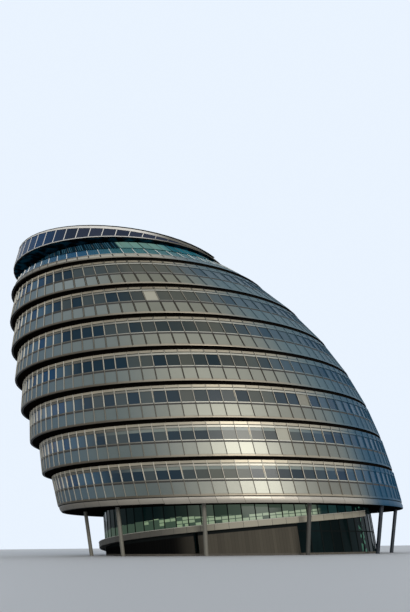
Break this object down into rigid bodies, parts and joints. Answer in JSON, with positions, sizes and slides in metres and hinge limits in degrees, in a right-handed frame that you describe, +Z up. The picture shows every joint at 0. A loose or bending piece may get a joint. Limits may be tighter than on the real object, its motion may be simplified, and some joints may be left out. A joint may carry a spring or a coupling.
{
  "type": "leaning glass town hall building, 1:2 scale model",
  "caption": "Leaning pebble-shaped town hall: stacked glazed storeys that overhang one another, a recessed gallery, a tapering crown and a round lobby with a ramp.",
  "frame": {"origin": "centre of the lowest storey ring, at plaza level, on the underside of the ground slab", "axes": "+Z up; +X north, away from the lean; +Y completes the right-handed set, with the camera side at -Y"},
  "size_m": [29.0191, 25.6212, 22.2479],
  "materials": {
    "facade_panel": "satin, cool olive grey",
    "glazing": "dark blue-green tinted, polished",
    "concrete": "fair-faced concrete, dark soffit",
    "pale_metal": "satin, pale warm grey",
    "post_metal": "satin dark grey",
    "crown_panel": "dark navy panels in pale ribs",
    "dark_panel": "satin brown grey",
    "ramp_stone": "pale honed panels",
    "column_metal": "satin warm grey"
  },
  "bodies": {
    "root": {"clerestory_glass": "glazing", "crown_screen": "crown_panel", "crown_trim": "pale_metal", "facade_1": "facade_panel", "facade_2": "facade_panel", "facade_3": "facade_panel", "facade_4": "facade_panel", "facade_5": "facade_panel", "facade_6": "facade_panel", "facade_7": "facade_panel", "fascia_ring": "pale_metal", "floor_1": "concrete", "floor_2": "concrete", "floor_3": "concrete", "floor_4": "concrete", "floor_5": "concrete", "floor_6": "concrete", "floor_7": "concrete", "gallery_balustrade": "glazing", "gallery_deck": "concrete", "gallery_glass": "glazing", "gallery_parapet": "pale_metal", "gallery_posts": "post_metal", "ground_slab": "concrete", "lobby_glass": "glazing", "lobby_panels": "dark_panel", "lobby_posts": "post_metal", "raking_columns": "column_metal", "ramp_band": "ramp_stone", "roof_slab": "concrete", "windows_1": "glazing", "windows_2": "glazing", "windows_3": "glazing", "windows_4": "glazing", "windows_5": "glazing", "windows_6": "glazing", "windows_7": "glazing"}
  },
  "joints": []
}
